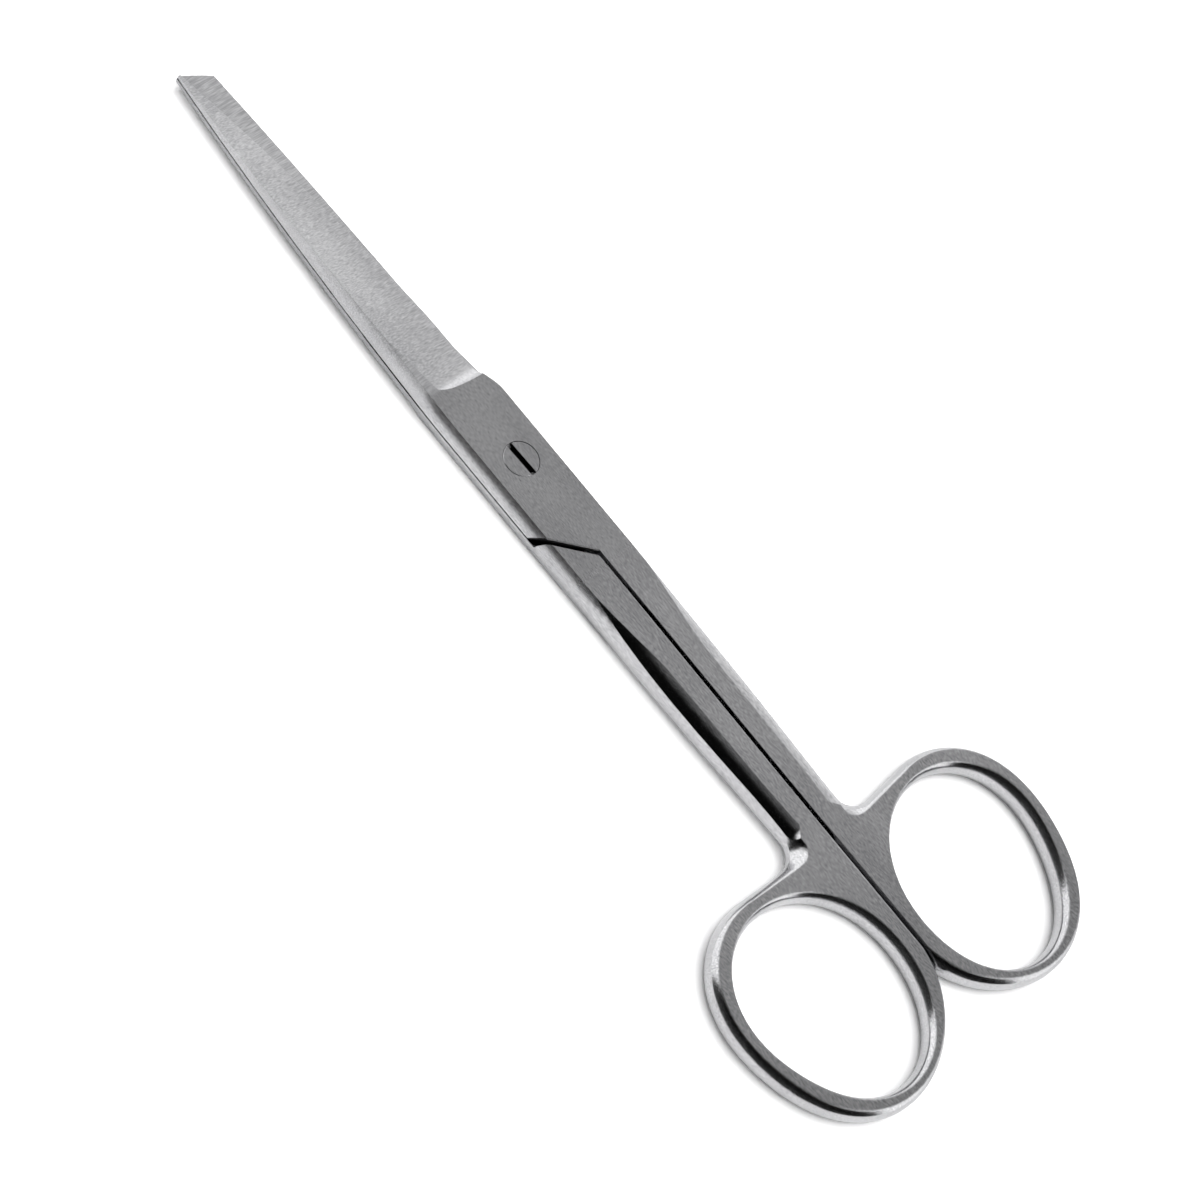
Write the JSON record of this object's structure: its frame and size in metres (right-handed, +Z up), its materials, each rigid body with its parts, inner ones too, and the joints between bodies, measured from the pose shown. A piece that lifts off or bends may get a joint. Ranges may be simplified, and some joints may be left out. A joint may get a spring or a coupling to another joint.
{
  "type": "operating scissors",
  "caption": "Straight ring-handled operating scissors with one sharp-pointed and one blunt-ended blade, crossing in a lapped box joint on a flush slotted screw.",
  "frame": {"origin": "on the pivot screw's axis, in the plane of the box joint's underside, on which the closed scissors lie", "axes": "+X along the closed blades towards the tips, +Z up along the pivot axis to the screw's slotted head, +Y towards the lower half's finger ring"},
  "size_m": [0.1449, 0.053, 0.0045],
  "materials": {
    "upper_half": "satin ground stainless steel",
    "lower_half": "satin ground stainless steel",
    "pivot_screw": "satin ground stainless steel"
  },
  "bodies": {
    "lower": {"lower_half": "lower_half", "pivot_screw": "pivot_screw"},
    "upper": {"upper_half": "upper_half"}
  },
  "joints": [
    {"name": "pivot", "type": "hinge", "parent": "lower", "child": "upper", "pos_m": [0, 0, 0], "axis": [0, 0, 1], "range_deg": [0, 80]}
  ]
}
